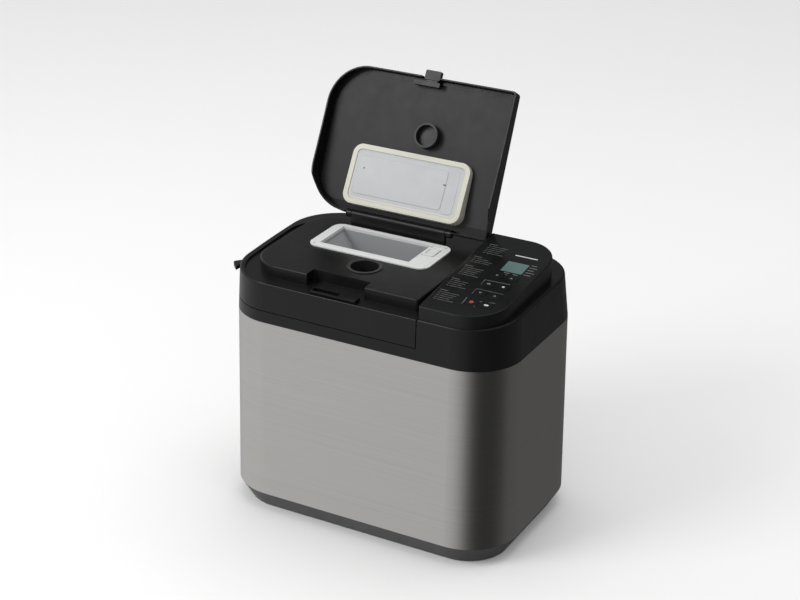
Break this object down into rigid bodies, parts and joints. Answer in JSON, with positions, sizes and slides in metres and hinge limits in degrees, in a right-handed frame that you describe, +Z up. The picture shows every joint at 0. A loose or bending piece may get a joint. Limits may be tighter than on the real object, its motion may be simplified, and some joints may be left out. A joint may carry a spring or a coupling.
{
  "type": "bread machine",
  "caption": "Countertop bread maker: brushed steel body on a tapered plinth, hinged main lid with an open dispenser lid, sloping key panel, pan and belt drive inside",
  "frame": {"origin": "on the surface the machine stands on, under the middle of its body", "axes": "+X to the right along the long front, +Y to the back, +Z up"},
  "size_m": [0.4024, 0.2805, 0.5376],
  "materials": {
    "black_plastic": "satin black moulded ABS with a fine spark texture",
    "lid_gloss": "black moulded lid shell, semi-gloss",
    "lid_inner_plastic": "dark grey satin polypropylene",
    "panel_gloss": "gloss black overlay with printed legends left out",
    "display_glass": "pale teal-grey display window",
    "display_body": "display module case",
    "brushed_steel": "horizontally brushed stainless sheet",
    "plinth_plastic": "dark grey moulded base, satin",
    "foot_rubber": "black rubber",
    "white_plastic": "white moulded polypropylene",
    "hopper_grey": "light grey moulded plastic",
    "gasket_silicone": "ivory silicone seal",
    "cup_black": "black moulded cup",
    "circuit_board": "green solder-mask board",
    "plain_steel": "zinc-plated steel",
    "chamber_steel": "aluminised steel sheet",
    "cast_aluminium": "die-cast aluminium",
    "bronze": "sintered bronze",
    "motor_paint": "black painted motor can",
    "belt_rubber": "black toothed rubber belt",
    "pan_coating": "dark non-stick coated aluminium",
    "handle_wire": "plated steel wire"
  },
  "bodies": {
    "root": {"top_housing": "black_plastic", "control_panel": "panel_gloss", "display_lens": "display_glass", "display_module": "display_body", "steel_wrap": "brushed_steel", "plinth": "plinth_plastic", "rear_grille": "plinth_plastic", "cord_inlet": "plinth_plastic", "rubber_feet": "foot_rubber", "control_board": "circuit_board", "power_board": "circuit_board", "chassis_plate": "plain_steel", "motor_bracket": "plain_steel", "base_screws": "plain_steel", "board_screws": "plain_steel", "lid_hinge_pins": "plain_steel", "element_clips": "plain_steel", "baking_chamber": "chamber_steel", "heating_element": "chamber_steel", "temperature_sensor": "chamber_steel", "pan_socket": "cast_aluminium", "bearing_housing": "cast_aluminium", "shaft_bushes": "bronze", "drive_motor": "motor_paint", "drive_belt": "belt_rubber"},
    "main_lid": {"lid_frame": "black_plastic", "lid_liner": "plain_steel", "liner_screws": "plain_steel", "lid_gasket": "gasket_silicone", "raisin_hopper": "white_plastic", "yeast_cup": "cup_black", "latch_keeper": "black_plastic", "dispenser_hinge_rod": "plain_steel"},
    "dispenser_lid_body": {"dispenser_lid": "lid_gloss", "dispenser_lid_liner": "lid_inner_plastic", "hopper_gasket": "gasket_silicone", "hopper_cover": "hopper_grey", "yeast_plug": "lid_inner_plastic"},
    "latch": {"latch_tab": "black_plastic"},
    "flap": {"raisin_flap": "hopper_grey"},
    "lever": {"flap_lever": "white_plastic"},
    "valve": {"yeast_valve": "hopper_grey"},
    "pan": {"bread_pan": "pan_coating"},
    "handle": {"pan_handle": "handle_wire"},
    "kneader": {"kneader_shaft": "plain_steel", "kneading_blade": "pan_coating"},
    "drive": {"drive_shaft": "plain_steel", "drive_pulley": "cast_aluminium"},
    "motor": {"motor_rotor": "plain_steel", "motor_pulley": "cast_aluminium"},
    "menu_key_down_cap": {"menu_key_down": "panel_gloss"},
    "menu_key_up_cap": {"menu_key_up": "panel_gloss"},
    "size_key_cap": {"size_key": "panel_gloss"},
    "crust_key_cap": {"crust_key": "panel_gloss"},
    "timer_key_down_cap": {"timer_key_down": "panel_gloss"},
    "timer_key_up_cap": {"timer_key_up": "panel_gloss"},
    "stop_key_cap": {"stop_key": "panel_gloss"},
    "start_key_cap": {"start_key": "panel_gloss"}
  },
  "joints": [
    {"name": "dispenser_lid_hinge", "type": "hinge", "parent": "main_lid", "child": "dispenser_lid_body", "pos_m": [0, 0.068, 0.3525], "axis": [1, 0, 0], "range_deg": [0, 120]},
    {"name": "main_lid_hinge", "type": "hinge", "parent": "root", "child": "main_lid", "pos_m": [0, 0.1215, 0.302], "axis": [-1, 0, 0], "range_deg": [0, 75]},
    {"name": "latch_slide", "type": "slide", "parent": "dispenser_lid_body", "child": "latch", "axis": [0, -0.5, -0.866], "range_m": [0, 0.003], "stiffness_N_per_m": 400, "springref_m": -0.003},
    {"name": "raisin_flap_hinge", "type": "hinge", "parent": "main_lid", "child": "flap", "pos_m": [0, 0.053, 0.2944], "axis": [1, 0, 0], "range_deg": [0, 80], "stiffness_Nm_per_rad": 0.012, "springref_deg": -45.84},
    {"name": "flap_lever_slide", "type": "slide", "parent": "main_lid", "child": "lever", "axis": [0, 1, 0.0035], "range_m": [0, 0.007]},
    {"name": "yeast_valve_hinge", "type": "hinge", "parent": "main_lid", "child": "valve", "pos_m": [0, -0.032, 0.297], "axis": [1, 0, 0], "range_deg": [0, 75], "stiffness_Nm_per_rad": 0.002, "springref_deg": -45.84},
    {"name": "pan_twist", "type": "hinge", "parent": "root", "child": "pan", "pos_m": [-0.055, 0, 0.07], "axis": [0, 0, 1], "range_deg": [0, 10]},
    {"name": "pan_handle_bail", "type": "hinge", "parent": "pan", "child": "handle", "pos_m": [-0.055, 0, 0.206], "axis": [-1, 0, 0], "range_deg": [0, 180]},
    {"name": "kneader_spin", "type": "hinge", "parent": "pan", "child": "kneader", "pos_m": [-0.055, 0, 0.09], "axis": [0, 0, 1], "continuous": true},
    {"name": "drive_spin", "type": "hinge", "parent": "root", "child": "drive", "pos_m": [-0.055, 0, 0.03], "axis": [0, 0, 1], "continuous": true},
    {"name": "motor_spin", "type": "hinge", "parent": "root", "child": "motor", "pos_m": [0.125, 0, 0.03], "axis": [0, 0, 1], "continuous": true},
    {"name": "menu_key_down_press", "type": "slide", "parent": "root", "child": "menu_key_down_cap", "axis": [0, 0.1184, -0.993], "range_m": [0, 0.0005], "stiffness_N_per_m": 400, "springref_m": -0.0003},
    {"name": "menu_key_up_press", "type": "slide", "parent": "root", "child": "menu_key_up_cap", "axis": [0, 0.1184, -0.993], "range_m": [0, 0.0005], "stiffness_N_per_m": 400, "springref_m": -0.0003},
    {"name": "size_key_press", "type": "slide", "parent": "root", "child": "size_key_cap", "axis": [0, 0.1184, -0.993], "range_m": [0, 0.0005], "stiffness_N_per_m": 400, "springref_m": -0.0003},
    {"name": "crust_key_press", "type": "slide", "parent": "root", "child": "crust_key_cap", "axis": [0, 0.1184, -0.993], "range_m": [0, 0.0005], "stiffness_N_per_m": 400, "springref_m": -0.0003},
    {"name": "timer_key_down_press", "type": "slide", "parent": "root", "child": "timer_key_down_cap", "axis": [0, 0.1184, -0.993], "range_m": [0, 0.0005], "stiffness_N_per_m": 400, "springref_m": -0.0003},
    {"name": "timer_key_up_press", "type": "slide", "parent": "root", "child": "timer_key_up_cap", "axis": [0, 0.1184, -0.993], "range_m": [0, 0.0005], "stiffness_N_per_m": 400, "springref_m": -0.0003},
    {"name": "stop_key_press", "type": "slide", "parent": "root", "child": "stop_key_cap", "axis": [0, 0.1184, -0.993], "range_m": [0, 0.0005], "stiffness_N_per_m": 400, "springref_m": -0.0003},
    {"name": "start_key_press", "type": "slide", "parent": "root", "child": "start_key_cap", "axis": [0, 0.1184, -0.993], "range_m": [0, 0.0005], "stiffness_N_per_m": 400, "springref_m": -0.0003}
  ],
  "couplings": [
    {"joint": "kneader_spin", "follows": "drive_spin", "ratio": 1},
    {"joint": "motor_spin", "follows": "drive_spin", "ratio": 4.4444}
  ]
}
